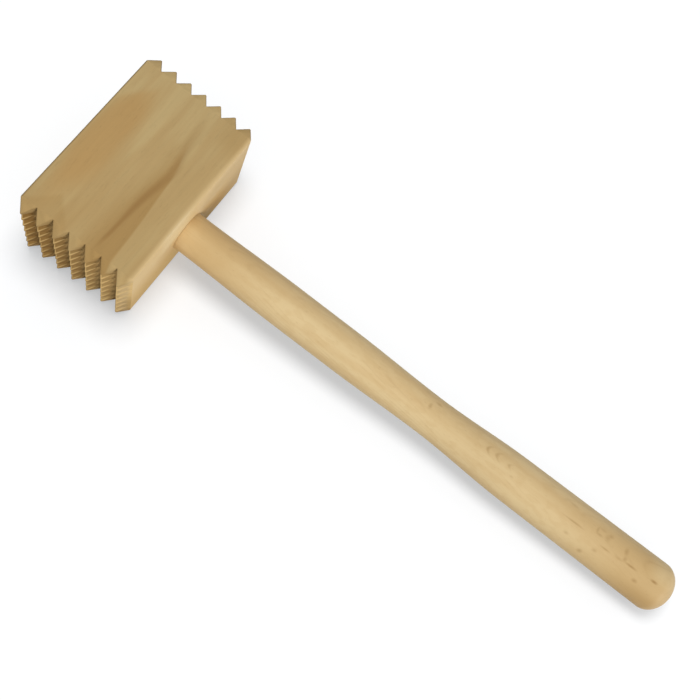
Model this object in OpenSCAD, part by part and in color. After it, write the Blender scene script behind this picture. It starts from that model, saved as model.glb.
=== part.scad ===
// Wooden meat mallet: a block head with pyramid teeth cut into both ends, on a turned handle.
// X runs along the handle, Y along the head from one toothed end to the other, and Z is up.
// The origin is the middle of the head's lower broad face.

/* [Head] */
// Length of the head over the tooth points of both ends
head_l = 92; // [70:1:140]
// Width of the head, along the handle
head_w = 56; // [46:1:80]
// Thickness of the head, between its broad faces
head_t = 48; // [36:1:70]
// Radius on the four long edges of the head
edge_round = 0.8; // [0.3:0.1:3]

/* [Teeth] */
// Teeth side by side across the width of the head
tooth_columns = 7; // [3:1:9]
// Teeth one above another through the thickness of the head
tooth_rows = 7; // [3:1:9]
// Depth of the grooves between the teeth
tooth_depth = 5.6; // [2:0.1:8]
// Width of the small flat on the point of each tooth
tooth_flat = 0.6; // [0.2:0.1:1.5]

/* [Handle] */
// Diameter at the neck, where the shoulder meets the head
neck_d = 18.8; // [17.5:0.1:28]
// Length over which the neck swells to the belly
neck_l = 57; // [30:1:90]
// Diameter of the belly
belly_d = 20.4; // [16:0.1:30]
// Length of the belly
belly_l = 30; // [10:1:60]
// Diameter of the waist, in front of the grip
waist_d = 18.8; // [14:0.1:28]
// Length over which the belly narrows to the waist
waist_l = 48; // [25:1:80]
// Diameter at the front of the grip
grip_d = 22.6; // [18:0.1:32]
// Length over which the waist swells to the grip
swell_l = 52; // [25:1:80]
// Diameter at the back of the grip
end_d = 24; // [18:0.1:34]
// Length of the tapered grip
grip_l = 78; // [50:1:120]
// Length of the rounded end behind the grip
dome_l = 9; // [3:0.1:16]

/* [Joint] */
// How far the hole is off the middle of the head, towards its +Y end
hole_shift = -1.9; // [-4:0.1:4]
// Diameter of the tenon that fills the hole in the head
tenon_d = 16; // [10:0.1:17]
// Thickness of the glue round the tenon and the wedge
glue_gap = 0.1; // [0.05:0.01:0.3]
// Length of the wedge
wedge_l = 32; // [15:1:36]
// Thickness of the wedge at its struck end
wedge_t = 4; // [2.5:0.1:6]
// Thickness of the wedge at its tip
wedge_tip_t = 1.6; // [1:0.1:2.4]
// Length of the saw cut past the tip of the wedge
kerf_past = 6; // [2:1:9]

/* [Hidden] */
$fn = 96;

// How far a cutting shape runs past the face that it cuts
overcut = 2;
// Points along each swelling stretch of the handle, and along its rounded end
curve_steps = 12;

tip_y = head_l / 2;
valley_y = tip_y - tooth_depth;
axis_z = head_t / 2;
far_x = -head_w / 2;
bore_d = tenon_d + 2 * glue_gap;

// Places along the handle, measured from the middle of the head
shoulder_x = head_w / 2;
belly_start_x = shoulder_x + neck_l;
belly_end_x = belly_start_x + belly_l;
waist_x = belly_end_x + waist_l;
grip_x = waist_x + swell_l;
dome_x = grip_x + grip_l;

// Zigzag across one toothed end, from side to side
function tooth_line(width, count) =
    let (pitch = width / count)
    concat(
        [[-width / 2 - overcut, valley_y]],
        [
            for (i = [0 : count - 1])
                let (middle = (i + 0.5) * pitch - width / 2)
                each [
                    [middle - pitch / 2, valley_y],
                    [middle - tooth_flat / 2, tip_y],
                    [middle + tooth_flat / 2, tip_y]
                ]
        ],
        [[width / 2, valley_y], [width / 2 + overcut, valley_y]]
    );

// The same line at the other end, run back the other way
function opposite(line) =
    [for (i = [len(line) - 1 : -1 : 0]) [line[i].x, -line[i].y]];

// Diameter part of the way from one place to the next, level at both
function eased(from_d, to_d, share) =
    from_d + (to_d - from_d) * (1 - cos(180 * share)) / 2;

// Outline points of one swelling or narrowing stretch, without its last point
function stretch(start_x, length, from_d, to_d) =
    [
        for (i = [0 : curve_steps - 1])
            let (share = i / curve_steps)
            [eased(from_d, to_d, share) / 2, start_x + length * share]
    ];

// Outline points of the rounded end, a quarter of an ellipse
function dome() =
    [
        for (i = [0 : curve_steps])
            let (angle = 90 * i / curve_steps)
            [end_d / 2 * cos(angle), dome_x + dome_l * sin(angle)]
    ];

handle_outline = concat(
    [[0, far_x], [tenon_d / 2, far_x], [tenon_d / 2, shoulder_x]],
    stretch(shoulder_x, neck_l, neck_d, belly_d),
    [[belly_d / 2, belly_start_x]],
    stretch(belly_end_x, waist_l, belly_d, waist_d),
    stretch(waist_x, swell_l, waist_d, grip_d),
    [[grip_d / 2, grip_x]],
    dome()
);

// Stands a shape made along Z on the axis of the handle instead
module on_handle_axis() {
    translate([0, hole_shift, axis_z])
        rotate([0, 90, 0])
            children();
}

// Block with the long edges of the head rounded
module blank() {
    round_x = head_w / 2 - edge_round;
    round_z = head_t / 2 - edge_round;
    translate([0, 0, axis_z])
        rotate([90, 0, 0])
            linear_extrude(head_l, center = true)
                union() {
                    square([head_w, 2 * round_z], center = true);
                    square([2 * round_x, head_t], center = true);
                    for (x = [-round_x, round_x], z = [-round_z, round_z])
                        translate([x, z])
                            circle(r = edge_round);
                }
}

// Long bar with ridges across both ends
module ridged_bar(width, count, height) {
    line = tooth_line(width, count);
    linear_extrude(height, center = true)
        polygon(concat(line, opposite(line)));
}

// Outline of the wedge seen from above, grown by the gap and run past its struck end
module wedge_plan(gap, past) {
    slope = (wedge_t - wedge_tip_t) / 2 / wedge_l;
    struck = wedge_t / 2 + slope * past + gap;
    tip = wedge_tip_t / 2 + gap;
    polygon([
        [far_x - past, -struck],
        [far_x + wedge_l, -tip],
        [far_x + wedge_l, tip],
        [far_x - past, struck]
    ]);
}

// Saw cut in the tenon, opened by the wedge
module kerf() {
    kerf_w = wedge_tip_t + 2 * glue_gap;
    translate([0, hole_shift, axis_z])
        linear_extrude(tenon_d + 2 * overcut, center = true)
            union() {
                wedge_plan(glue_gap, overcut);
                translate([far_x, -kerf_w / 2])
                    square([wedge_l + kerf_past, kerf_w]);
            }
}

module head() {
    color("burlywood")
    difference() {
        intersection() {
            blank();
            translate([0, 0, axis_z])
                ridged_bar(head_w, tooth_columns, head_t + 2 * overcut);
            translate([0, 0, axis_z])
                rotate([0, -90, 0])
                    ridged_bar(head_t, tooth_rows, head_w + 2 * overcut);
        }
        on_handle_axis()
            cylinder(h = head_w + 2 * overcut, d = bore_d, center = true);
    }
}

module handle() {
    color("wheat")
    difference() {
        on_handle_axis()
            rotate_extrude()
                polygon(handle_outline);
        kerf();
    }
}

module wedge() {
    color("peru")
    intersection() {
        translate([0, hole_shift, axis_z])
            linear_extrude(tenon_d, center = true)
                wedge_plan(0, 0);
        on_handle_axis()
            cylinder(h = head_w, d = tenon_d, center = true);
    }
}

head();
handle();
wedge();
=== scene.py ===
import bmesh
import bpy
import math
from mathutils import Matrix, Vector


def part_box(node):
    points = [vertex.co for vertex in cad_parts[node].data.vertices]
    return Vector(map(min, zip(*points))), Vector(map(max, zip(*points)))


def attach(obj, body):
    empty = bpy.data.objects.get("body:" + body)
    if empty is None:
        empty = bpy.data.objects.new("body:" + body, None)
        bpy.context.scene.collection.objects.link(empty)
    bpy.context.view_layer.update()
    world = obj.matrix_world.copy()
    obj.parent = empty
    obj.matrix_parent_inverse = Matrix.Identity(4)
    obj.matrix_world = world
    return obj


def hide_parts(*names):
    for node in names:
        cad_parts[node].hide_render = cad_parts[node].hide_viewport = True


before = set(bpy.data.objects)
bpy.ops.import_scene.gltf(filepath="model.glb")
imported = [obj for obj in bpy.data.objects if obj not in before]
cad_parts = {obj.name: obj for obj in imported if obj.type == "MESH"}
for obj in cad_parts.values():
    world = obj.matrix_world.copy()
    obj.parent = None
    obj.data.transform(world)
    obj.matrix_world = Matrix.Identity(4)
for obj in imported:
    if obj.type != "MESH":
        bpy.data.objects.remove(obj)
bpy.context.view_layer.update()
print("frame loaded:", ", ".join(sorted(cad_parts)))

scene = bpy.context.scene
scene.view_settings.view_transform = "Standard"

# camera, at the angle the mallet was photographed from
cameraSet = {
    "place": (0.08985, -0.13755, 0.43819),
    "turn": (12.738, -13.824, 35.195),   # degrees
    "lens": 50.219,
    "sensor": 36.0,
    "clip": (0.01, 50.0),
}
bpy.ops.object.select_all(action="DESELECT")
bpy.ops.object.camera_add(
    location=cameraSet["place"], rotation=[math.radians(a) for a in cameraSet["turn"]])
camera = bpy.context.object
camera.name = "photo_camera"
camera.data.lens = cameraSet["lens"]
camera.data.sensor_width = cameraSet["sensor"]
camera.data.clip_start, camera.data.clip_end = cameraSet["clip"]
scene.camera = camera
print("camera set")

# small helpers for modelling
facing = 0.9           # a face looks along an axis if this much of its normal does
joinGap = 0.000002     # points closer than this become one


def deselectAll():
    if bpy.context.object and bpy.context.object.mode != "OBJECT":
        bpy.ops.object.mode_set(mode="OBJECT")
    bpy.ops.object.select_all(action="DESELECT")


def workOn(piece):
    deselectAll()
    bpy.context.view_layer.objects.active = piece
    piece.select_set(True)


def nameNew(name):
    piece = bpy.context.object
    piece.name = name
    piece.data.name = name
    bpy.ops.object.transform_apply(location=True, rotation=True, scale=True)
    return piece


def pick(piece, kind, test):
    bpy.ops.mesh.select_mode(type=kind)
    bpy.ops.mesh.select_all(action="DESELECT")
    shape = bmesh.from_edit_mesh(piece.data)
    parts = {"FACE": shape.faces, "EDGE": shape.edges, "VERT": shape.verts}[kind]
    for part in parts:
        if test(part):
            part.select_set(True)
    shape.select_flush_mode()
    bmesh.update_edit_mesh(piece.data)


def cutWith(piece, tool, operation):
    workOn(piece)
    cut = piece.modifiers.new("cut", "BOOLEAN")
    cut.operation = operation
    cut.solver = "EXACT"
    cut.object = tool
    bpy.ops.object.modifier_apply(modifier=cut.name)
    bpy.data.objects.remove(tool)


def softenEdges(piece, width, steps, angle):
    workOn(piece)
    soft = piece.modifiers.new("soften", "BEVEL")
    soft.width = width
    soft.segments = steps
    soft.limit_method = "ANGLE"
    soft.angle_limit = math.radians(angle)
    bpy.ops.object.modifier_apply(modifier=soft.name)


def closeUp(piece, smoothAngle):
    workOn(piece)
    bpy.ops.object.mode_set(mode="EDIT")
    bpy.ops.mesh.select_all(action="SELECT")
    bpy.ops.mesh.remove_doubles(threshold=joinGap)
    bpy.ops.mesh.normals_make_consistent(inside=False)
    bpy.ops.object.mode_set(mode="OBJECT")
    bpy.ops.object.shade_smooth_by_angle(angle=math.radians(smoothAngle))


def placePiece(piece, node):
    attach(piece, "root")
    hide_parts(node)


# the handle's axis, which is a little off the middle of the head
handleLow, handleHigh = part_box("handle")
axisY = (handleLow.y + handleHigh.y) / 2
axisZ = (handleLow.z + handleHigh.z) / 2


def rodTool(name, radius, length, rounds):   # a rod on that axis, to cut with
    deselectAll()
    bpy.ops.mesh.primitive_cylinder_add(
        vertices=rounds, radius=radius, depth=length,
        location=(0, axisY, axisZ), rotation=(0, math.radians(90), 0))
    return nameNew(name)


# head: a block with pyramid teeth sawn into both ends
headSet = {
    "width": 0.056,        # along the handle
    "length": 0.092,       # over the tooth points
    "height": 0.048,
    "columns": 7,
    "rows": 7,
    "toothDepth": 0.0056,
    "toothFlat": 0.0006,
    "chipSize": 0.0001,    # how uneven the tooth points are
    "chipSeed": 5,
    "flatAngle": 0.5,      # degrees: saw lines across faces flatter than this go
    "longEdge": 0.0008,    # rounding of the four long edges
    "longSteps": 4,
    "softEdge": 0.00016,   # sanding of every other edge
    "softSteps": 2,
    "softAngle": 28,       # degrees: sharper edges than this are sanded
    "smoothAngle": 32,     # degrees: flatter edges than this look smooth
    "boreRadius": 0.0081,
    "boreRounds": 96,
}


def makeHead():
    s = headSet
    halfW = s["width"] / 2
    pitchX = s["width"] / s["columns"]
    pitchZ = s["height"] / s["rows"]
    valleyY = s["length"] / 2 - s["toothDepth"]
    deselectAll()
    bpy.ops.mesh.primitive_cube_add(
        size=1, location=(0, 0, s["height"] / 2),
        scale=(s["width"], 2 * valleyY, s["height"]))
    head = nameNew("mallet_head")
    bpy.ops.object.mode_set(mode="EDIT")
    for i in range(1, s["columns"]):   # saw lines across
        bpy.ops.mesh.select_all(action="SELECT")
        bpy.ops.mesh.bisect(plane_co=(i * pitchX - halfW, 0, 0), plane_no=(1, 0, 0))
    for i in range(1, s["rows"]):      # saw lines through the thickness
        bpy.ops.mesh.select_all(action="SELECT")
        bpy.ops.mesh.bisect(plane_co=(0, 0, i * pitchZ), plane_no=(0, 0, 1))

    # each field of the two ends is drawn out to a short ridge, and each ridge narrowed to a point
    pick(head, "FACE", lambda f: abs(f.normal.y) > facing)
    bpy.ops.mesh.inset(
        thickness=(pitchZ - s["toothFlat"]) / 2, depth=s["toothDepth"] - s["chipSize"],
        use_individual=True)
    ridge = pitchX - pitchZ + s["toothFlat"]
    halfWay = valleyY + s["toothDepth"] / 2

    def isRidge(face, middle):
        place = face.calc_center_median()
        inColumn = abs(place.x - middle) < pitchX / 4
        return inColumn and abs(place.y) > halfWay and abs(face.normal.y) > facing

    for i in range(s["columns"]):
        middle = (i + 0.5) * pitchX - halfW
        pick(head, "FACE", lambda f: isRidge(f, middle))
        bpy.ops.transform.resize(
            value=(s["toothFlat"] / ridge, 1, 1), center_override=(middle, 0, 0))
    pick(head, "VERT", lambda v: abs(v.co.y) > halfWay)
    bpy.ops.transform.vertex_random(
        offset=s["chipSize"], uniform=0.0, normal=0.0, seed=s["chipSeed"])

    # saw lines on the flat faces go, then the long edges are rounded
    bpy.ops.mesh.select_mode(type="EDGE")
    bpy.ops.mesh.select_all(action="SELECT")
    bpy.ops.mesh.dissolve_limited(angle_limit=math.radians(s["flatAngle"]))
    pick(head, "EDGE", lambda e: abs(e.verts[0].co.y - e.verts[1].co.y) > valleyY)
    bpy.ops.mesh.bevel(
        offset=s["longEdge"], segments=s["longSteps"], profile=0.5, affect="EDGES")

    # hole for the handle's tenon
    bore = rodTool("bore_tool", s["boreRadius"], 2 * s["width"], s["boreRounds"])
    cutWith(head, bore, "DIFFERENCE")
    softenEdges(head, s["softEdge"], s["softSteps"], s["softAngle"])
    closeUp(head, s["smoothAngle"])
    placePiece(head, "head")
    print("head made,", len(head.data.polygons), "faces")
    return head


# handle: an outline turned about the axis, with a tenon through the head
handleSet = {
    "tenonRadius": 0.008,
    "tenonSteps": 8,
    "neck": (0.028, 0.0094),   # place along the handle, radius there
    "belly": (0.085, 0.0102),
    "bellyEnd": (0.115, 0.0102),
    "bellySteps": 6,
    "waist": (0.163, 0.0094),
    "grip": (0.215, 0.0113),
    "gripEnd": (0.293, 0.012),
    "gripSteps": 14,
    "tip": 0.30199,
    "rounds": 96,              # steps round the axis
    "steps": 14,               # points along each swelling stretch and the rounded end
    "shoulderRound": 0.0003,
    "shoulderCut": 0.3,        # share of that rounding which is cut off its corner
    "kerfEnd": 0.010,
    "kerfWidth": 0.0018,
    "kerfPast": 0.004,         # how far the cutting block runs past the tenon
    "glueGap": 0.0001,
    "smoothAngle": 30,
}
# wedge: driven into the tenon from the far face of the head
wedgeSet = {
    "length": 0.032,
    "thick": 0.004,
    "tip": 0.0016,
    "softEdge": 0.0001,
    "softSteps": 2,
    "softAngle": 40,
    "smoothAngle": 30,
}
farX = -headSet["width"] / 2


def stretchOut(start, end, steps, ease):
    points = []
    for i in range(steps):
        share = i / steps
        x = start[0] + (end[0] - start[0]) * share
        points.append((x, start[1] + (end[1] - start[1]) * ease(share)))
    return points


def swell(start, end, steps):          # level at both ends
    return stretchOut(start, end, steps, lambda share: (1 - math.cos(math.pi * share)) / 2)


def straight(start, end, steps):
    return stretchOut(start, end, steps, lambda share: share)


def handleOutline():
    s = handleSet
    r = s["shoulderRound"]
    cut = s["shoulderCut"] * r
    tenonR = s["tenonRadius"]
    neckX, neckR = s["neck"]
    endX, endR = s["gripEnd"]
    outline = straight((farX, tenonR), (neckX, tenonR), s["tenonSteps"])
    outline += [(neckX, tenonR), (neckX, neckR - r), (neckX + cut, neckR - cut)]
    outline += swell((neckX + r, neckR), s["belly"], s["steps"])
    outline += straight(s["belly"], s["bellyEnd"], s["bellySteps"])
    outline += swell(s["bellyEnd"], s["waist"], s["steps"])
    outline += swell(s["waist"], s["grip"], s["steps"])
    outline += straight(s["grip"], s["gripEnd"], s["gripSteps"])
    for i in range(s["steps"]):
        angle = math.radians(90) * i / s["steps"]
        outline.append((endX + (s["tip"] - endX) * math.sin(angle), endR * math.cos(angle)))
    return outline + [(s["tip"], 0.0)]


def makeWedgeBlock(name, gap, past):
    s = wedgeSet
    wide = s["thick"] + 2 * gap
    tall = 2 * handleSet["tenonRadius"] + past
    tipX = farX + s["length"]
    deselectAll()
    bpy.ops.mesh.primitive_cube_add(
        size=1, location=(farX + s["length"] / 2, axisY, axisZ), scale=(s["length"], wide, tall))
    block = nameNew(name)
    bpy.ops.object.mode_set(mode="EDIT")
    pick(block, "FACE", lambda f: f.normal.x > facing)
    bpy.ops.transform.resize(
        value=(1, (s["tip"] + 2 * gap) / wide, 1), center_override=(tipX, axisY, axisZ))
    if past > 0:                       # a cutting block also runs out past the struck end
        slope = (s["thick"] - s["tip"]) / s["length"]
        pick(block, "FACE", lambda f: f.normal.x < -facing)
        bpy.ops.mesh.extrude_region_move(TRANSFORM_OT_translate={"value": (-past, 0, 0)})
        bpy.ops.transform.resize(
            value=(1, (wide + slope * past) / wide, 1),
            center_override=(farX - past, axisY, axisZ))
    bpy.ops.object.mode_set(mode="OBJECT")
    return block


def makeHandle():
    s = handleSet
    deselectAll()
    bpy.ops.mesh.primitive_plane_add(size=0.001, location=(farX, axisY, axisZ))
    handle = nameNew("mallet_handle")
    bpy.ops.object.mode_set(mode="EDIT")
    bpy.ops.mesh.select_mode(type="VERT")
    bpy.ops.mesh.select_all(action="SELECT")
    bpy.ops.mesh.merge(type="CENTER")
    before = (farX, 0.0)
    for x, radius in handleOutline():  # outline drawn point by point
        bpy.ops.mesh.extrude_vertices_move(
            TRANSFORM_OT_translate={"value": (x - before[0], 0, radius - before[1])})
        before = (x, radius)
    bpy.ops.mesh.select_all(action="SELECT")
    bpy.ops.mesh.spin(
        steps=s["rounds"], angle=math.radians(360), center=(0, axisY, axisZ), axis=(1, 0, 0))
    closeUp(handle, s["smoothAngle"])

    # saw cut in the tenon, opened by the wedge
    cutWith(handle, makeWedgeBlock("kerf_tool", s["glueGap"], s["kerfPast"]), "DIFFERENCE")
    deselectAll()
    kerfX = farX + wedgeSet["length"] / 2
    bpy.ops.mesh.primitive_cube_add(
        size=1, location=((kerfX + s["kerfEnd"]) / 2, axisY, axisZ),
        scale=(s["kerfEnd"] - kerfX, s["kerfWidth"], 4 * s["tenonRadius"]))
    cutWith(handle, nameNew("slot_tool"), "DIFFERENCE")
    closeUp(handle, s["smoothAngle"])
    placePiece(handle, "handle")
    print("handle made,", len(handle.data.polygons), "faces")
    return handle


def makeWedge():
    s = wedgeSet
    wedge = makeWedgeBlock("tenon_wedge", 0.0, 0.0)
    trim = rodTool(
        "trim_tool", handleSet["tenonRadius"], 4 * headSet["width"], handleSet["rounds"])
    cutWith(wedge, trim, "INTERSECT")
    softenEdges(wedge, s["softEdge"], s["softSteps"], s["softAngle"])
    closeUp(wedge, s["smoothAngle"])
    placePiece(wedge, "wedge")
    print("wedge made,", len(wedge.data.polygons), "faces")
    return wedge


head = makeHead()
handle = makeHandle()
wedge = makeWedge()


# small helpers for materials
def tone(red, green, blue):
    def channel(value):
        value = value / 255
        return value / 12.92 if value <= 0.04045 else ((value + 0.055) / 1.055) ** 2.4
    return (channel(red), channel(green), channel(blue), 1.0)


def emptyTree(owner):
    owner.use_nodes = True
    owner.node_tree.nodes.clear()
    return owner.node_tree


def wire(tree, socket, value):
    if isinstance(value, bpy.types.NodeSocket):
        tree.links.new(value, socket)
    else:
        socket.default_value = value


def calc(tree, operation, first, second=0.0, third=0.0):
    node = tree.nodes.new("ShaderNodeMath")
    node.operation = operation
    for socket, value in zip(node.inputs, (first, second, third)):
        wire(tree, socket, value)
    return node.outputs[0]


def plus(tree, base, share, value):     # base, and this share of the value
    return calc(tree, "MULTIPLY_ADD", value, share, base)


def times(tree, *values):
    result = values[0]
    for value in values[1:]:
        result = calc(tree, "MULTIPLY", result, value)
    return result


def farFrom(tree, first, second):       # distance, from its two legs
    squares = calc(tree, "ADD", times(tree, first, first), times(tree, second, second))
    return calc(tree, "SQRT", squares)


def centred(tree, value):               # noise runs about 0.5
    return calc(tree, "SUBTRACT", value, 0.5)


def crests(tree, value, sharp):         # a row of narrow crests, 0 between them and 1 on top
    wave = plus(tree, 0.5, 0.5, calc(tree, "SINE", value))
    return calc(tree, "POWER", wave, sharp)


def rise(tree, value, span):            # 0 before the span, 1 after it, smooth between
    node = tree.nodes.new("ShaderNodeMapRange")
    node.interpolation_type = "SMOOTHSTEP"
    wire(tree, node.inputs["Value"], value)
    node.inputs["From Min"].default_value, node.inputs["From Max"].default_value = span
    return node.outputs[0]


def fall(tree, value, span):            # 1 before the span, 0 after it
    return calc(tree, "SUBTRACT", 1.0, rise(tree, value, span))


def mixTone(tree, factor, first, second, mode="MIX"):
    node = tree.nodes.new("ShaderNodeMix")
    node.data_type = "RGBA"
    node.blend_type = mode
    for place, value in zip((0, 6, 7), (factor, first, second)):   # the colour sockets
        wire(tree, node.inputs[place], value)
    return node.outputs[2]


def stretchSpace(tree, vector, scale, place=(0, 0, 0)):
    node = tree.nodes.new("ShaderNodeMapping")
    wire(tree, node.inputs["Vector"], vector)
    node.inputs["Scale"].default_value = scale
    node.inputs["Location"].default_value = place
    return node.outputs[0]


def cloud(tree, vector, grain, detail=2.0, rough=0.5, place=(0, 0, 0)):
    node = tree.nodes.new("ShaderNodeTexNoise")
    wire(tree, node.inputs["Vector"], stretchSpace(tree, vector, grain, place))
    node.inputs["Scale"].default_value = 1.0
    node.inputs["Detail"].default_value = detail
    node.inputs["Roughness"].default_value = rough
    return node.outputs[0]


def drawnLine(tree, value, span, height, points):   # a line drawn through given points, as height over place
    low, high = span
    share = tree.nodes.new("ShaderNodeMapRange")
    wire(tree, share.inputs["Value"], value)
    share.inputs["From Min"].default_value = low
    share.inputs["From Max"].default_value = high
    node = tree.nodes.new("ShaderNodeFloatCurve")
    wire(tree, node.inputs["Value"], share.outputs[0])
    line = node.mapping.curves[0]
    spots = [((p - low) / (high - low), q / height) for p, q in points]
    line.points[0].location = spots[0]
    line.points[1].location = spots[-1]
    for spot in spots[1:-1]:
        line.points.new(*spot)
    node.mapping.update()
    return times(tree, node.outputs[0], height)


def startWood(name):
    material = bpy.data.materials.new(name)
    tree = emptyTree(material)
    coords = tree.nodes.new("ShaderNodeTexCoord")
    millimetres = stretchSpace(tree, coords.outputs["Object"], (1000, 1000, 1000))
    parts = tree.nodes.new("ShaderNodeSeparateXYZ")
    tree.links.new(millimetres, parts.inputs[0])
    return material, tree, millimetres, parts.outputs


def finishWood(tree, settings, colour, roughness, relief):
    bump = tree.nodes.new("ShaderNodeBump")
    bump.inputs["Strength"].default_value = settings["bump"]
    bump.inputs["Distance"].default_value = settings["bumpDepth"]
    tree.links.new(relief, bump.inputs["Height"])
    shader = tree.nodes.new("ShaderNodeBsdfPrincipled")
    shader.inputs["Specular IOR Level"].default_value = settings["gloss"]
    tree.links.new(colour, shader.inputs["Base Color"])
    tree.links.new(roughness, shader.inputs["Roughness"])
    tree.links.new(bump.outputs[0], shader.inputs["Normal"])
    output = tree.nodes.new("ShaderNodeOutputMaterial")
    tree.links.new(shader.outputs[0], output.inputs["Surface"])


def dress(piece, material):
    piece.data.materials.clear()
    piece.data.materials.append(material)


# head wood: broad soft bands along the block, a brown flame, a pale handle side, and darker teeth
# with painted shade and light
# a span is where a change starts and where it is complete
# x, y and z are in millimetres: across the head, along it and up
headWood = {
    "pale": tone(193, 168, 118),
    "middle": tone(185, 156, 106),
    "flame": tone(171, 138, 86),
    "core": tone(157, 122, 73),
    "russet": tone(183, 147, 93),
    "sap": tone(216, 188, 138),
    "honey": tone(190, 150, 78),
    "amber": tone(164, 121, 52),
    "bare": tone(240, 224, 186),
    "groove": tone(116, 82, 34),
    "innerBrown": tone(150, 108, 48),
    "rubbed": tone(224, 190, 128),
    "edge": tone(104, 78, 42),

    # how close the grain is along x, y and z, per millimetre
    "wanderGrain": (0.05, 0.02, 0.05),
    "bandGrain": (0.11, 0.012, 0.08),
    "bandPlace": (3.1, 0.7, 1.9),
    "fibreGrain": (2.4, 0.05, 2.4),
    "streakGrain": (0.55, 0.018, 0.55),
    "poreGrain": (3.2, 0.22, 3.2),
    "dotGrain": (3.0, 0.3, 3.0),

    # broad forms, drawn on the top and carried down through the block
    "lean": 0.32,          # how far the bands shift sideways through the thickness
    "stray": 3.0,          # how far they wander
    "bandSpan": (0.35, 0.62),
    "nearBrown": {"y": (-42.0, 2.0), "strength": 0.35},
    "patch": {"middle": (-19.5, 1.0), "half": (9.5, 36.0), "span": (0.45, 1.2), "stray": 0.8,
              "cutSlope": 1.2, "cutPlace": 52.0, "cutSpan": (-3.0, 3.0), "strength": 0.85},
    "farCorner": {"x": (12.0, 19.0), "y": (22.0, 36.0), "strength": 0.45},
    "nearCorner": {"middle": -16.0, "top": -29.0, "span": (-2.5, 1.0),
                   "x": (-9.0, -4.0), "strength": 0.45},
    "lineSpan": (-46, 46),
    "lineHeight": 20.0,
    "coreLine": [(-46, 7.8), (-35, 8.2), (-20, 9.0), (-10, 10.0), (0, 11.4),
                 (8, 12.0), (14, 10.8), (22, 9.0), (32, 8.0), (46, 7.0)],
    "flameEdge": [(-46, 17.0), (-38, 16.6), (-25, 16.0), (-12, 15.1), (0, 14.2),
                  (8, 13.3), (14, 11.8), (22, 9.8), (46, 8.0)],
    "flameForm": {"fromCore": (-2.0, 0.6), "fromEdge": (-0.7, 0.5), "y": (2.0, 14.0)},
    "halo": {"before": (-9.0, 0.0), "past": (0.0, 1.0), "y": (8.0, 24.0), "strength": 0.95},
    "coreForm": {"width": 1.2, "wider": 1.6, "widerY": (-30.0, 8.0), "span": (0.1, 1.25),
                 "startY": (-42.0, -30.0), "endY": (18.0, 42.0),
                 "loss": -0.52, "lossY": (-14.0, 18.0)},

    # fine grain
    "fibre": 0.07,
    "streak": 0.06,
    "growth": {"rate": 1.7, "bend": 14.0, "sharp": 4.0, "strength": -0.018},
    "pores": {"span": (0.64, 0.76), "strength": -0.07},

    # end grain on the teeth
    "endSpan": (40.15, 40.55),
    "rings": {"middle": (-75.0, -60.0), "rate": 2.3, "stray": 5.0, "strength": 0.03},
    "dots": {"span": (0.58, 0.70), "strength": -0.08},
    # painted light: the far end of the teeth, turned from the key lamp, is paler
    "farEnd": {"y": (-10.0, 10.0), "paler": 0.17},

    # inner rows of teeth darker away from the handle and paler towards it, and pale wood at the
    # handle side
    "innerSpan": (3.5, 4.4),
    "innerDarker": {"x": (10.0, 17.0), "strength": 0.32, "farX": (-24.0, -4.0), "farStrength": 0.34},
    "paleTowardsHandle": {"x": (-4.0, 18.0), "strength": 0.45},
    "sapWood": {"x": (25.2, 28.2), "stray": 2.0, "endX": (22.5, 25.5), "endStrength": 0.9},

    # handle side, with painted shade low down and beside the handle, some of it warm
    "sideSpan": (26.4, 27.8),
    "farSide": {"y": (-5.0, 22.0), "z": (38.0, 47.0), "strength": 0.28},
    "lowFar": {"y": (8.0, 24.0), "z": (10.0, 32.0), "strength": 0.62},
    "lowNear": {"y": (-8.0, 6.0), "z": (2.0, 26.0), "strength": 0.38},
    # painted warm shade by the handle
    "warm": {"farY": (4.0, 12.0), "farEndY": (22.0, 34.0), "farZ": (10.0, 32.0),
             "nearY": (-8.0, 4.0), "nearZ": (12.0, 38.0), "strength": 0.45},
    # the handle's painted shadow on the side, streaky along the grain
    "handleShadow": {"upperSlope": 0.72, "upper": (29.0, 45.0), "lowerSlope": 1.42, "lower": (30.0, 42.0),
               "y": (7.0, 12.0), "endY": (22.0, 40.0),
               "streaks": (0.40, 0.60), "strength": 0.36, "streakStrength": 0.28},
    "bareSpot": {"y": (-24.0, -16.0), "endY": (-8.0, 2.0), "z": (28.0, 40.0), "strength": 0.25},

    # painted shade, painted light and wear on the teeth, with the spans at an arris and down a
    # flank as shares of a tooth
    "arrisSpan": (-0.06, 0.06),
    "flankShare": 0.3,
    # painted shade on the sides of the teeth and between the rows, less by the handle
    "flankShade": {"fromGroove": (0.3, 2.0), "least": 0.08, "strength": 0.42},
    "rowShade": {"span": (0.5, 0.9), "strength": 0.36},
    "lessShadeByHandle": {"x": (12.0, 26.0), "strength": -0.6},
    "rubbedAndLitFlank": {"span": (0.4, 0.7), "strength": 0.70},
    "freshCut": {"fromGroove": (0.3, 1.4), "strength": 0.6},
    "outline": {"span": (0.02, 0.16), "strength": 0.5},
    "ridge": {"span": (0.1, 0.6), "least": 0.10, "farX": (-34.0, 16.0), "farStrength": 0.3,
              "lowZ": (12.0, 30.0), "lowStrength": 0.35},

    # darker long edges
    "darkerEdges": {"span": (0.4, 1.4), "fibre": 0.6, "least": 0.15, "x": (-6.0, 6.0), "strength": 0.45},

    "rough": 0.50,
    "roughFibre": 0.18,
    "roughEnd": 0.32,      # end grain is dull
    "gloss": 0.13,
    "bump": 0.6,
    "bumpDepth": 0.00008,
    "poreDepth": -0.8,
}


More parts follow.
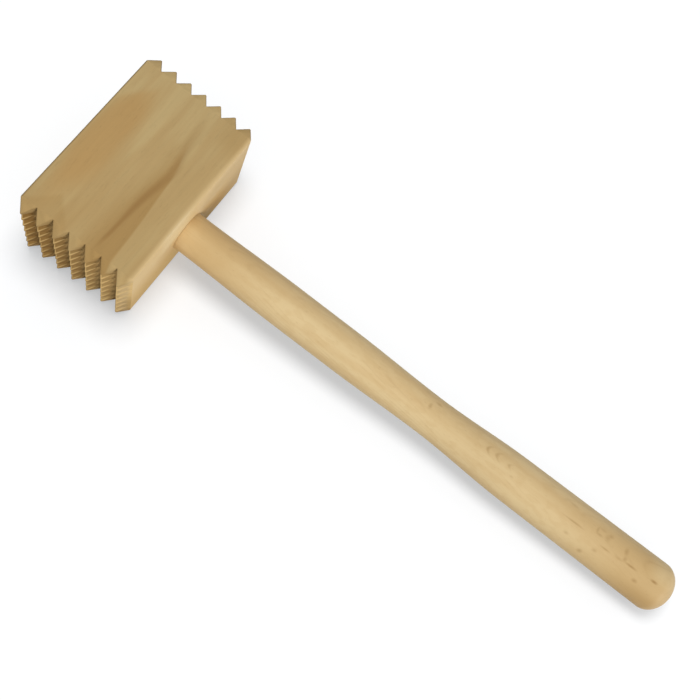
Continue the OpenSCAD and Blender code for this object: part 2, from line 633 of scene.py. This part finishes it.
def dressHead(piece):
    s = headWood
    material, t, mm, (x, y, z) = startWood("head_wood")
    halfWide = 500 * headSet["width"]      # in millimetres
    halfTall = 500 * headSet["height"]
    valley = 1000 * (headSet["length"] / 2 - headSet["toothDepth"])

    # the bands lean over through the thickness, and wander a little
    wander = centred(t, cloud(t, mm, s["wanderGrain"]))
    below = calc(t, "SUBTRACT", z, 2 * halfTall)
    across = plus(t, plus(t, x, s["stray"], wander), s["lean"], below)

    # broad bands, browner towards the near end
    bands = cloud(t, mm, s["bandGrain"], detail=3.0, rough=0.55, place=s["bandPlace"])
    colour = mixTone(t, rise(t, bands, s["bandSpan"]), s["middle"], s["pale"])
    f = s["nearBrown"]
    colour = mixTone(t, times(t, fall(t, y, f["y"]), f["strength"]), colour, s["flame"])

    # russet patch at the far side, cut off by a slanting line at one end
    f = s["patch"]
    patchX = calc(t, "DIVIDE", calc(t, "SUBTRACT", across, f["middle"][0]), f["half"][0])
    patchY = calc(t, "DIVIDE", calc(t, "SUBTRACT", y, f["middle"][1]), f["half"][1])
    reach = plus(t, farFrom(t, patchX, patchY), f["stray"], wander)
    slant = calc(t, "SUBTRACT", y, plus(t, f["cutPlace"], f["cutSlope"], across))
    patch = times(t, fall(t, reach, f["span"]), fall(t, slant, f["cutSpan"]), f["strength"])
    colour = mixTone(t, patch, colour, s["russet"])

    # faint browner corners, the near one under a roof-shaped line
    f = s["farCorner"]
    farCorner = times(t, rise(t, y, f["y"]), rise(t, across, f["x"]), f["strength"])
    colour = mixTone(t, farCorner, colour, s["flame"])
    f = s["nearCorner"]
    fromMiddle = calc(t, "ABSOLUTE", calc(t, "SUBTRACT", across, f["middle"]))
    roof = plus(t, f["top"], -1.0, fromMiddle)
    under = fall(t, calc(t, "SUBTRACT", y, roof), f["span"])
    nearCorner = times(t, under, fall(t, across, f["x"]), f["strength"])
    colour = mixTone(t, nearCorner, colour, s["flame"])

    # the flame, a halo before it, and its dark core
    core = drawnLine(t, y, s["lineSpan"], s["lineHeight"], s["coreLine"])
    edge = drawnLine(t, y, s["lineSpan"], s["lineHeight"], s["flameEdge"])
    offCore = calc(t, "SUBTRACT", across, core)
    offEdge = calc(t, "SUBTRACT", across, edge)
    f = s["flameForm"]
    flame = times(
        t, rise(t, offCore, f["fromCore"]), fall(t, offEdge, f["fromEdge"]), fall(t, y, f["y"]))
    f = s["halo"]
    halo = times(
        t, rise(t, offCore, f["before"]), fall(t, offCore, f["past"]), fall(t, y, f["y"]),
        f["strength"])
    colour = mixTone(t, calc(t, "MAXIMUM", flame, halo), colour, s["flame"])
    f = s["coreForm"]
    width = plus(t, f["width"], f["wider"], rise(t, y, f["widerY"]))
    nearCore = calc(t, "DIVIDE", calc(t, "ABSOLUTE", offCore), width)
    dark = times(
        t, fall(t, nearCore, f["span"]), rise(t, y, f["startY"]), fall(t, y, f["endY"]),
        plus(t, 1.0, f["loss"], rise(t, y, f["lossY"])))
    colour = mixTone(t, dark, colour, s["core"])

    # fine fibres, growth lines and pores, all along the block
    fibres = cloud(t, mm, s["fibreGrain"], detail=4.0, rough=0.6)
    streaks = cloud(t, mm, s["streakGrain"])
    f = s["growth"]
    growth = crests(t, plus(t, times(t, bands, f["bend"]), f["rate"], across), f["sharp"])
    pores = rise(t, cloud(t, mm, s["poreGrain"], detail=1.0), s["pores"]["span"])
    fromCentre = calc(t, "ABSOLUTE", y)
    endGrain = rise(t, fromCentre, s["endSpan"])
    sideGrain = calc(t, "SUBTRACT", 1.0, endGrain)
    shade = plus(t, 1.0 - s["fibre"] / 2, s["fibre"], fibres)
    shade = plus(t, shade, s["streak"], centred(t, streaks))
    shade = plus(t, shade, f["strength"], times(t, growth, sideGrain))
    shade = plus(t, shade, s["pores"]["strength"], times(t, pores, sideGrain))

    # end grain on the teeth: rings and open pores, and painted light that makes the far end, turned
    # from the key lamp, paler
    f = s["rings"]
    ringX = calc(t, "SUBTRACT", x, f["middle"][0])
    ringZ = calc(t, "SUBTRACT", z, f["middle"][1])
    ringAt = plus(t, times(t, wander, f["stray"]), f["rate"], farFrom(t, ringX, ringZ))
    dots = rise(t, cloud(t, mm, s["dotGrain"]), s["dots"]["span"])
    openGrain = times(t, dots, s["dots"]["strength"])
    openGrain = plus(t, openGrain, f["strength"], calc(t, "SINE", ringAt))
    farEnd = rise(t, y, s["farEnd"]["y"])
    openGrain = plus(t, openGrain, s["farEnd"]["paler"], farEnd)
    shade = times(t, shade, plus(t, 1.0, endGrain, openGrain))
    colour = mixTone(t, 1.0, colour, shade, "MULTIPLY")

    # places on the teeth: in from the sides, from the nearest groove, and out from its bottom
    halfX = halfWide / headSet["columns"]
    halfZ = halfTall / headSet["rows"]
    inX = calc(t, "SUBTRACT", halfWide, calc(t, "ABSOLUTE", x))
    inZ = calc(t, "SUBTRACT", halfTall, calc(t, "ABSOLUTE", calc(t, "SUBTRACT", z, halfTall)))
    fieldX = calc(t, "PINGPONG", inX, halfX)
    fieldZ = calc(t, "PINGPONG", inZ, halfZ)
    outward = calc(t, "SUBTRACT", fromCentre, valley)
    innerRows = times(t, endGrain, rise(t, inZ, s["innerSpan"]))

    # inner rows are darker, most of all away from the handle, and paler towards it
    f = s["innerDarker"]
    innerDarker = times(t, fall(t, x, f["farX"]), f["farStrength"])
    innerDarker = plus(t, innerDarker, f["strength"], fall(t, x, f["x"]))
    colour = mixTone(t, times(t, innerRows, innerDarker), colour, s["innerBrown"])
    f = s["paleTowardsHandle"]
    paleTowardsHandle = times(t, innerRows, rise(t, x, f["x"]), f["strength"])
    colour = mixTone(t, paleTowardsHandle, colour, s["rubbed"])

    # pale wood along the handle side, also on the last column of teeth
    f = s["sapWood"]
    sapSide = rise(t, plus(t, x, f["stray"], wander), f["x"])
    sapEnd = times(t, innerRows, rise(t, x, f["endX"]), f["endStrength"])
    colour = mixTone(t, calc(t, "MAXIMUM", sapSide, sapEnd), colour, s["sap"])

    # the handle side is browner towards its far end, and low down it has painted shade, which on
    # its far part is the handle's painted shadow
    onSide = rise(t, x, s["sideSpan"])
    f = s["farSide"]
    farSide = times(t, onSide, rise(t, y, f["y"]), fall(t, z, f["z"]), f["strength"])
    colour = mixTone(t, farSide, colour, s["flame"])
    f = s["lowFar"]
    lowFar = times(t, rise(t, y, f["y"]), fall(t, z, f["z"]), f["strength"])
    f = s["lowNear"]
    lowNear = times(t, fall(t, y, f["y"]), fall(t, z, f["z"]), f["strength"])
    low = times(t, onSide, calc(t, "MAXIMUM", lowFar, lowNear))
    colour = mixTone(t, low, colour, s["flame"])
    # painted warm shade beside and below the handle, as of light thrown back off it
    f = s["warm"]
    warmFar = times(t, rise(t, y, f["farY"]), fall(t, y, f["farEndY"]), fall(t, z, f["farZ"]))
    warmNear = times(t, fall(t, y, f["nearY"]), fall(t, z, f["nearZ"]))
    warm = times(t, onSide, calc(t, "MAXIMUM", warmFar, warmNear), f["strength"])
    colour = mixTone(t, warm, colour, s["honey"])

    # the handle's painted shadow beside it, between two slanting lines, and a bare spot on its
    # other side
    f = s["handleShadow"]
    handleShadow = times(
        t, onSide, fall(t, plus(t, z, f["upperSlope"], y), f["upper"]),
        rise(t, plus(t, z, f["lowerSlope"], y), f["lower"]),
        rise(t, y, f["y"]), fall(t, y, f["endY"]),
        plus(t, f["strength"], f["streakStrength"], rise(t, streaks, f["streaks"])))
    colour = mixTone(t, handleShadow, colour, s["amber"])
    f = s["bareSpot"]
    bare = times(
        t, onSide, rise(t, y, f["y"]), fall(t, y, f["endY"]), rise(t, z, f["z"]), f["strength"])
    colour = mixTone(t, bare, colour, s["bare"])

    # painted shade on the sides of the teeth and in the depths between the rows
    shareX = calc(t, "DIVIDE", fieldX, halfX)
    offArris = calc(t, "SUBTRACT", shareX, calc(t, "DIVIDE", fieldZ, halfZ))
    inward = calc(t, "DIVIDE", offArris, times(t, shareX, s["flankShare"]))
    f = s["flankShade"]
    flankShade = plus(t, f["least"], f["strength"], rise(t, fieldX, f["fromGroove"]))
    flankShade = times(t, fall(t, offArris, s["arrisSpan"]), flankShade)
    f = s["rowShade"]
    rowShade = times(t, rise(t, inward, f["span"]), f["strength"])
    f = s["lessShadeByHandle"]
    toothShade = times(
        t, innerRows, plus(t, 1.0, f["strength"], rise(t, x, f["x"])),
        calc(t, "MAXIMUM", flankShade, rowShade))
    colour = mixTone(t, toothShade, colour, s["groove"])

    # the outer flanks are rubbed pale and carry painted light near their arrises, and the cuts
    # between the columns are fresh
    f = s["rubbedAndLitFlank"]
    rubbed = times(
        t, innerRows, rise(t, offArris, s["arrisSpan"]), fall(t, inward, f["span"]), f["strength"])
    colour = mixTone(t, rubbed, colour, s["rubbed"])
    f = s["freshCut"]
    freshCut = times(t, innerRows, fall(t, fieldX, f["fromGroove"]), f["strength"])
    colour = mixTone(t, freshCut, colour, s["rubbed"])

    # dark arrises round the outer flanks of the far end, and darker ridges
    f = s["outline"]
    outerRows = times(t, endGrain, fall(t, inZ, s["innerSpan"]), farEnd)
    outline = fall(t, calc(t, "ABSOLUTE", offArris), f["span"])
    colour = mixTone(t, times(t, outerRows, outline, f["strength"]), colour, s["edge"])
    f = s["ridge"]
    slopeX = (halfX - 500 * headSet["toothFlat"]) / (1000 * headSet["toothDepth"])
    offRidge = plus(t, fieldX, -slopeX, outward)
    ridgeDarkening = plus(t, f["least"], f["farStrength"], fall(t, x, f["farX"]))
    ridgeDarkening = plus(t, ridgeDarkening, f["lowStrength"], fall(t, z, f["lowZ"]))
    ridge = times(t, fall(t, offRidge, f["span"]), endGrain, ridgeDarkening)
    colour = mixTone(t, ridge, colour, s["edge"])

    # long edges are darker, most of all away from the handle
    f = s["darkerEdges"]
    fromEdge = plus(t, farFrom(t, inX, inZ), f["fibre"], fibres)
    darkerEdges = times(
        t, fall(t, fromEdge, f["span"]), sideGrain,
        plus(t, f["least"], f["strength"], fall(t, x, f["x"])))
    colour = mixTone(t, darkerEdges, colour, s["edge"])

    roughness = plus(t, plus(t, s["rough"], s["roughEnd"], endGrain), s["roughFibre"], fibres)
    relief = plus(t, fibres, s["poreDepth"], pores)
    finishWood(t, s, colour, roughness, relief)
    dress(piece, material)
    print("head wood done,", len(t.nodes), "nodes")


# handle wood: pale beech, fine grain along the handle, short flecks and a few ring marks
# x and y are in millimetres: along the handle, and across it from its axis
handleWood = {
    "pale": tone(225, 199, 150),
    "middle": tone(217, 188, 138),
    "warm": tone(206, 173, 120),
    "mark": tone(152, 110, 52),
    "endGrain": tone(184, 162, 126),

    # how close the grain is along x, y and z, per millimetre
    "wanderGrain": (0.02, 0.07, 0.07),
    "bandGrain": (0.012, 0.16, 0.16),
    "bandPlace": (1.3, 2.2, 0.4),
    "mottleGrain": (0.16, 0.34, 0.34),
    "mottlePlace": (0.6, 3.0, 1.1),
    "patchGrain": (0.03, 0.12, 0.12),
    "patchPlace": (5.0, 1.0, 2.0),
    "fibreGrain": (0.06, 2.6, 2.6),
    "fleckGrain": (0.42, 3.4, 3.4),
    "dotGrain": (0.3, 3.2, 3.2),

    # broad changes of tone
    "bandSpan": (0.36, 0.64),
    "neck": {"x": (20.0, 44.0), "endX": (34.0, 90.0), "strength": 0.75},
    "butt": {"x": (225.0, 290.0), "strength": 0.9},
    "mottle": {"span": (0.46, 0.62), "strength": 0.22},
    "crown": {"y": (-2.5, 0.5), "endY": (3.5, 6.5), "strength": 0.3},
    "upperSpan": (0.0, 2.0),   # height over the axis
    # painted light down the far side
    "farSide": {"y": (5.5, 9.0), "strength": 0.45},
    "paleEnd": {"x": (281.0, 291.0), "y": (-4.0, 2.5), "strength": 0.7},
    # painted shade low on the near side of the end
    "nearEndShade": {"x": (262.0, 292.0), "y": (-11.0, -6.0), "strength": 0.28},

    # growth rings, flecks and fibres
    "rings": {"leanY": 0.14, "leanX": 0.11, "stray": 2.4, "rate": 4.6, "sharp": 7.0,
              "patches": (0.46, 0.66), "strength": 0.11},
    "flecks": {"span": (0.66, 0.76), "strength": 0.14},
    "fibre": 0.06,
    "markSpan": (0.2, 1.5),
    "markFibre": 0.5,
    "marks": [             # place along, place across, half length, half width, bend, strength
        (192.0, 1.0, 1.1, 2.6, 0.40, 0.40),
        (197.0, 1.0, 1.2, 2.8, 0.45, 0.32),
        (204.0, 0.4, 1.0, 1.8, 0.80, 0.28),
        (207.5, -3.0, 1.4, 0.6, 0.00, 0.22),
        (160.2, 0.8, 1.1, 1.8, 0.00, 0.36),
        (163.5, 4.2, 2.0, 0.9, 0.00, 0.34),
        (242.5, -2.3, 6.5, 0.55, 0.00, 0.44),
        (261.0, -3.5, 3.2, 0.55, 0.00, 0.38),
        (275.0, -2.8, 4.0, 0.60, 0.00, 0.62),
        (287.8, -2.1, 2.3, 0.85, 0.00, 0.70),
        (268.6, -3.2, 2.6, 0.8, 0.00, 0.24),
        (271.0, -1.8, 1.3, 1.5, 0.00, 0.34),
        (270.0, 1.4, 1.4, 2.3, 0.05, 0.34),
        (253.5, 1.6, 0.9, 1.9, 0.12, 0.30),
        (255.4, 0.1, 2.3, 0.7, 0.00, 0.26),
        (259.4, 1.2, 1.9, 1.9, 0.05, 0.26),
        (260.7, 2.9, 1.6, 1.0, 0.00, 0.26),
        (256.2, 3.1, 2.5, 0.7, 0.00, 0.18),
        (280.3, -6.6, 1.9, 0.95, 0.00, 0.42),
        (257.5, -6.6, 1.7, 0.75, 0.00, 0.32),
        (253.0, -9.8, 1.6, 0.85, 0.00, 0.40),
        (242.6, -7.6, 1.8, 0.75, 0.00, 0.28),
        (239.0, 4.4, 3.6, 0.70, 0.00, 0.26),
    ],

    # end grain
    "tenonEnd": (-27.9, -27.6),
    "roundEnd": (292.0, 299.0),
    "dots": {"span": (0.56, 0.70), "strength": -0.18},
    "arcs": {"rate": 5.2, "strength": 0.05},
    "sawn": {"x": (0.0, 30.0), "strength": 0.60, "tenonStrength": 0.35},

    "rough": 0.44,
    "roughFibre": 0.16,
    "gloss": 0.15,
    "bump": 0.6,
    "bumpDepth": 0.00006,
    "fleckDepth": -0.8,
}


def dressHandle(piece):
    s = handleWood
    material, t, mm, (x, yHead, z) = startWood("handle_wood")
    y = calc(t, "SUBTRACT", yHead, axisY * 1000)
    high = calc(t, "SUBTRACT", z, axisZ * 1000)
    upper = rise(t, high, s["upperSpan"])
    wander = centred(t, cloud(t, mm, s["wanderGrain"]))

    # broad change of tone, warmer at the head and at the end
    bands = cloud(t, mm, s["bandGrain"], detail=3.0, place=s["bandPlace"])
    colour = mixTone(t, rise(t, bands, s["bandSpan"]), s["middle"], s["pale"])
    f = s["neck"]
    neck = times(t, rise(t, x, f["x"]), fall(t, x, f["endX"]), f["strength"])
    f = s["butt"]
    butt = times(t, rise(t, x, f["x"]), f["strength"])
    colour = mixTone(t, calc(t, "MAXIMUM", neck, butt), colour, s["warm"])
    f = s["mottle"]
    mottle = rise(t, cloud(t, mm, s["mottleGrain"], place=s["mottlePlace"]), f["span"])
    colour = mixTone(t, times(t, mottle, f["strength"]), colour, s["warm"])

    # warmer along the crown, and painted light down the far side
    f = s["crown"]
    crown = times(t, rise(t, y, f["y"]), fall(t, y, f["endY"]), upper, f["strength"])
    colour = mixTone(t, crown, colour, s["warm"])
    f = s["farSide"]
    colour = mixTone(t, times(t, rise(t, y, f["y"]), f["strength"]), colour, s["pale"])

    # the end is paler on the far side, and has painted shade low on the near side
    f = s["paleEnd"]
    paleEnd = times(t, rise(t, x, f["x"]), rise(t, y, f["y"]), f["strength"])
    colour = mixTone(t, paleEnd, colour, s["pale"])
    f = s["nearEndShade"]
    nearEndShade = times(t, rise(t, x, f["x"]), fall(t, y, f["y"]), f["strength"])
    colour = mixTone(t, nearEndShade, colour, s["mark"])

    # growth rings lie nearly flat, so they come out as long lines and as arcs on the top
    f = s["rings"]
    layer = plus(t, plus(t, high, f["leanY"], y), f["leanX"], x)
    layer = plus(t, layer, f["stray"], wander)
    rings = crests(t, times(t, layer, f["rate"]), f["sharp"])
    patchy = rise(t, cloud(t, mm, s["patchGrain"], place=s["patchPlace"]), f["patches"])
    colour = mixTone(t, times(t, rings, patchy, f["strength"]), colour, s["mark"])

    # short flecks and fine fibres
    fibres = cloud(t, mm, s["fibreGrain"], detail=4.0, rough=0.6)
    f = s["flecks"]
    flecks = rise(t, cloud(t, mm, s["fleckGrain"], detail=1.0), f["span"])
    colour = mixTone(t, times(t, flecks, f["strength"]), colour, s["mark"])
    shade = plus(t, 1.0 - s["fibre"] / 2, s["fibre"], fibres)
    colour = mixTone(t, 1.0, colour, shade, "MULTIPLY")

    # the few marks that stand out on the upper side
    for along, aside, length, width, bend, strength in s["marks"]:
        dy = calc(t, "SUBTRACT", y, aside)
        dx = plus(t, calc(t, "SUBTRACT", x, along), -bend, times(t, dy, dy))
        away = farFrom(t, calc(t, "DIVIDE", dx, length), calc(t, "DIVIDE", dy, width))
        away = plus(t, away, s["markFibre"], fibres)
        mark = times(t, fall(t, away, s["markSpan"]), upper, strength)
        colour = mixTone(t, mark, colour, s["mark"])

    # end grain on the tenon's end, and a trace of it on the rounded end
    endGrain = calc(t, "MAXIMUM", fall(t, x, s["tenonEnd"]), rise(t, x, s["roundEnd"]))
    f = s["dots"]
    grey = plus(t, 1.0, f["strength"], rise(t, cloud(t, mm, s["dotGrain"]), f["span"]))
    f = s["arcs"]
    grey = plus(t, grey, f["strength"], calc(t, "SINE", times(t, layer, f["rate"])))
    sawn = mixTone(t, 1.0, s["endGrain"], grey, "MULTIPLY")
    f = s["sawn"]
    strong = plus(t, f["strength"], f["tenonStrength"], fall(t, x, f["x"]))
    colour = mixTone(t, times(t, endGrain, strong), colour, sawn)

    roughness = plus(t, s["rough"], s["roughFibre"], fibres)
    relief = plus(t, fibres, s["fleckDepth"], flecks)
    finishWood(t, s, colour, roughness, relief)
    dress(piece, material)
    print("handle wood done,", len(t.nodes), "nodes")


# wedge wood: a darker hardwood, sawn along the grain
wedgeWood = {
    "light": tone(168, 124, 78),
    "dark": tone(126, 86, 50),
    "bandGrain": (0.05, 0.5, 0.5),
    "bandSpan": (0.35, 0.65),
    "fibreGrain": (0.2, 4.0, 4.0),
    "fibre": 0.2,
    "rough": 0.5,
    "roughFibre": 0.2,
    "gloss": 0.10,
    "bump": 0.6,
    "bumpDepth": 0.00006,
}


def dressWedge(piece):
    s = wedgeWood
    material, t, mm, _ = startWood("wedge_wood")
    bands = cloud(t, mm, s["bandGrain"], detail=3.0, rough=0.6)
    fibres = cloud(t, mm, s["fibreGrain"], detail=3.0, rough=0.6)
    colour = mixTone(t, rise(t, bands, s["bandSpan"]), s["dark"], s["light"])
    shade = plus(t, 1.0 - s["fibre"] / 2, s["fibre"], fibres)
    colour = mixTone(t, 1.0, colour, shade, "MULTIPLY")
    roughness = plus(t, s["rough"], s["roughFibre"], fibres)
    finishWood(t, s, colour, roughness, fibres)
    dress(piece, material)
    print("wedge wood done,", len(t.nodes), "nodes")


dressHead(head)
dressHandle(handle)
dressWedge(wedge)

# studio: a white floor that the mallet rests on, a soft key lamp and a sky for the mallet,
# and a bulb that lights the floor only and so throws the mallet's shadow
studioSet = {
    "floorSize": 6.0,
    "floorTilt": 2.59,         # degrees: the mallet leans back on the end of its handle
    "floorTone": 0.52,
    "floorLevel": 1.065,       # the open floor is a little over white for the camera
    "glowTint": (0.945, 0.970, 1.0),
    "floorBounce": 0.22,       # how much light the floor throws up on the mallet
    "sky": 0.58,
    "keyFrom": (0.75, -0.38, 0.54),
    "keyLevel": 0.64,
    "keySoft": 22.0,           # degrees across
    "bulbPlace": (-0.024, 0.068, 0.78),
    "bulbLevel": 0.74,
    "bulbRadius": 0.17,
}


def showsWhite(tree):          # 1 for the camera, reflections and glass
    path = tree.nodes.new("ShaderNodeLightPath")
    seen = calc(tree, "MAXIMUM", path.outputs["Is Camera Ray"], path.outputs["Is Glossy Ray"])
    return calc(tree, "MAXIMUM", seen, path.outputs["Is Transmission Ray"])


def plainShader(tree, kind, colour):
    shader = tree.nodes.new(kind)
    shader.inputs["Color"].default_value = tuple(colour) + (1,)
    return shader


def showEither(tree, lights, seen, outputKind):   # one lights the mallet, the other is seen
    mix = tree.nodes.new("ShaderNodeMixShader")
    output = tree.nodes.new(outputKind)
    tree.links.new(showsWhite(tree), mix.inputs[0])
    tree.links.new(lights.outputs[0], mix.inputs[1])
    tree.links.new(seen.outputs[0], mix.inputs[2])
    tree.links.new(mix.outputs[0], output.inputs["Surface"])


def makeSky():
    world = bpy.data.worlds.new("studio")
    scene.world = world
    tree = emptyTree(world)
    glow = plainShader(tree, "ShaderNodeBackground", (1, 1, 1))
    glow.inputs["Strength"].default_value = studioSet["sky"]
    white = plainShader(tree, "ShaderNodeBackground", (1, 1, 1))
    showEither(tree, glow, white, "ShaderNodeOutputWorld")


def makeFloor():
    s = studioSet
    tilt = math.radians(s["floorTilt"])
    pivot = headSet["width"] / 2   # the head's lower edge on the handle side stays on the floor
    deselectAll()
    bpy.ops.mesh.primitive_plane_add(
        size=s["floorSize"], location=(0, 0, -pivot * math.tan(tilt)), rotation=(0, -tilt, 0))
    floor = nameNew("studio_floor")
    material = bpy.data.materials.new("floor_paper")
    tree = emptyTree(material)
    paper = plainShader(tree, "ShaderNodeBsdfDiffuse", (s["floorTone"],) * 3)
    bounce = plainShader(tree, "ShaderNodeBsdfDiffuse", (s["floorBounce"],) * 3)

    # a glow makes up what the bulb's light loses further out, so that the open floor is even
    glow = plainShader(tree, "ShaderNodeEmission", s["glowTint"])
    coords = tree.nodes.new("ShaderNodeTexCoord")
    away = tree.nodes.new("ShaderNodeVectorMath")
    away.operation = "DISTANCE"
    tree.links.new(coords.outputs["Object"], away.inputs[0])
    away.inputs[1].default_value = s["bulbPlace"]
    near = calc(tree, "DIVIDE", s["bulbPlace"][2], away.outputs["Value"])
    near = calc(tree, "POWER", near, 3.0)   # light falls off with distance and slant
    steady = s["floorLevel"] - s["floorTone"] * s["sky"]
    strength = plus(tree, steady, -s["floorTone"] * s["bulbLevel"], near)
    wire(tree, glow.inputs["Strength"], strength)
    seen = tree.nodes.new("ShaderNodeAddShader")
    tree.links.new(paper.outputs[0], seen.inputs[0])
    tree.links.new(glow.outputs[0], seen.inputs[1])
    showEither(tree, bounce, seen, "ShaderNodeOutputMaterial")
    dress(floor, material)
    return floor


def lightOnly(lamp, lit):
    group = bpy.data.collections.new(lamp.name + "_lights")
    for thing in lit:
        group.objects.link(thing)
    lamp.light_linking.receiver_collection = group


def makeKey(lit):
    s = studioSet
    towards = Vector(s["keyFrom"])
    deselectAll()
    bpy.ops.object.light_add(
        type="SUN", location=towards, rotation=towards.to_track_quat("Z", "Y").to_euler())
    lamp = bpy.context.object
    lamp.name = "key_lamp"
    lamp.data.energy = s["keyLevel"] * math.pi   # a white sheet facing the lamp shows this level
    lamp.data.angle = math.radians(s["keySoft"])
    lightOnly(lamp, lit)


def makeBulb(lit):
    s = studioSet
    place = Vector(s["bulbPlace"])
    deselectAll()
    bpy.ops.object.light_add(type="POINT", location=place)
    lamp = bpy.context.object
    lamp.name = "floor_bulb"
    # a white sheet under the bulb shows this level
    lamp.data.energy = s["bulbLevel"] * (2 * math.pi * place.length) ** 2
    lamp.data.shadow_soft_size = s["bulbRadius"]
    lightOnly(lamp, lit)


makeSky()
floor = makeFloor()
makeKey([head, handle, wedge])
makeBulb([floor])
print("studio done")
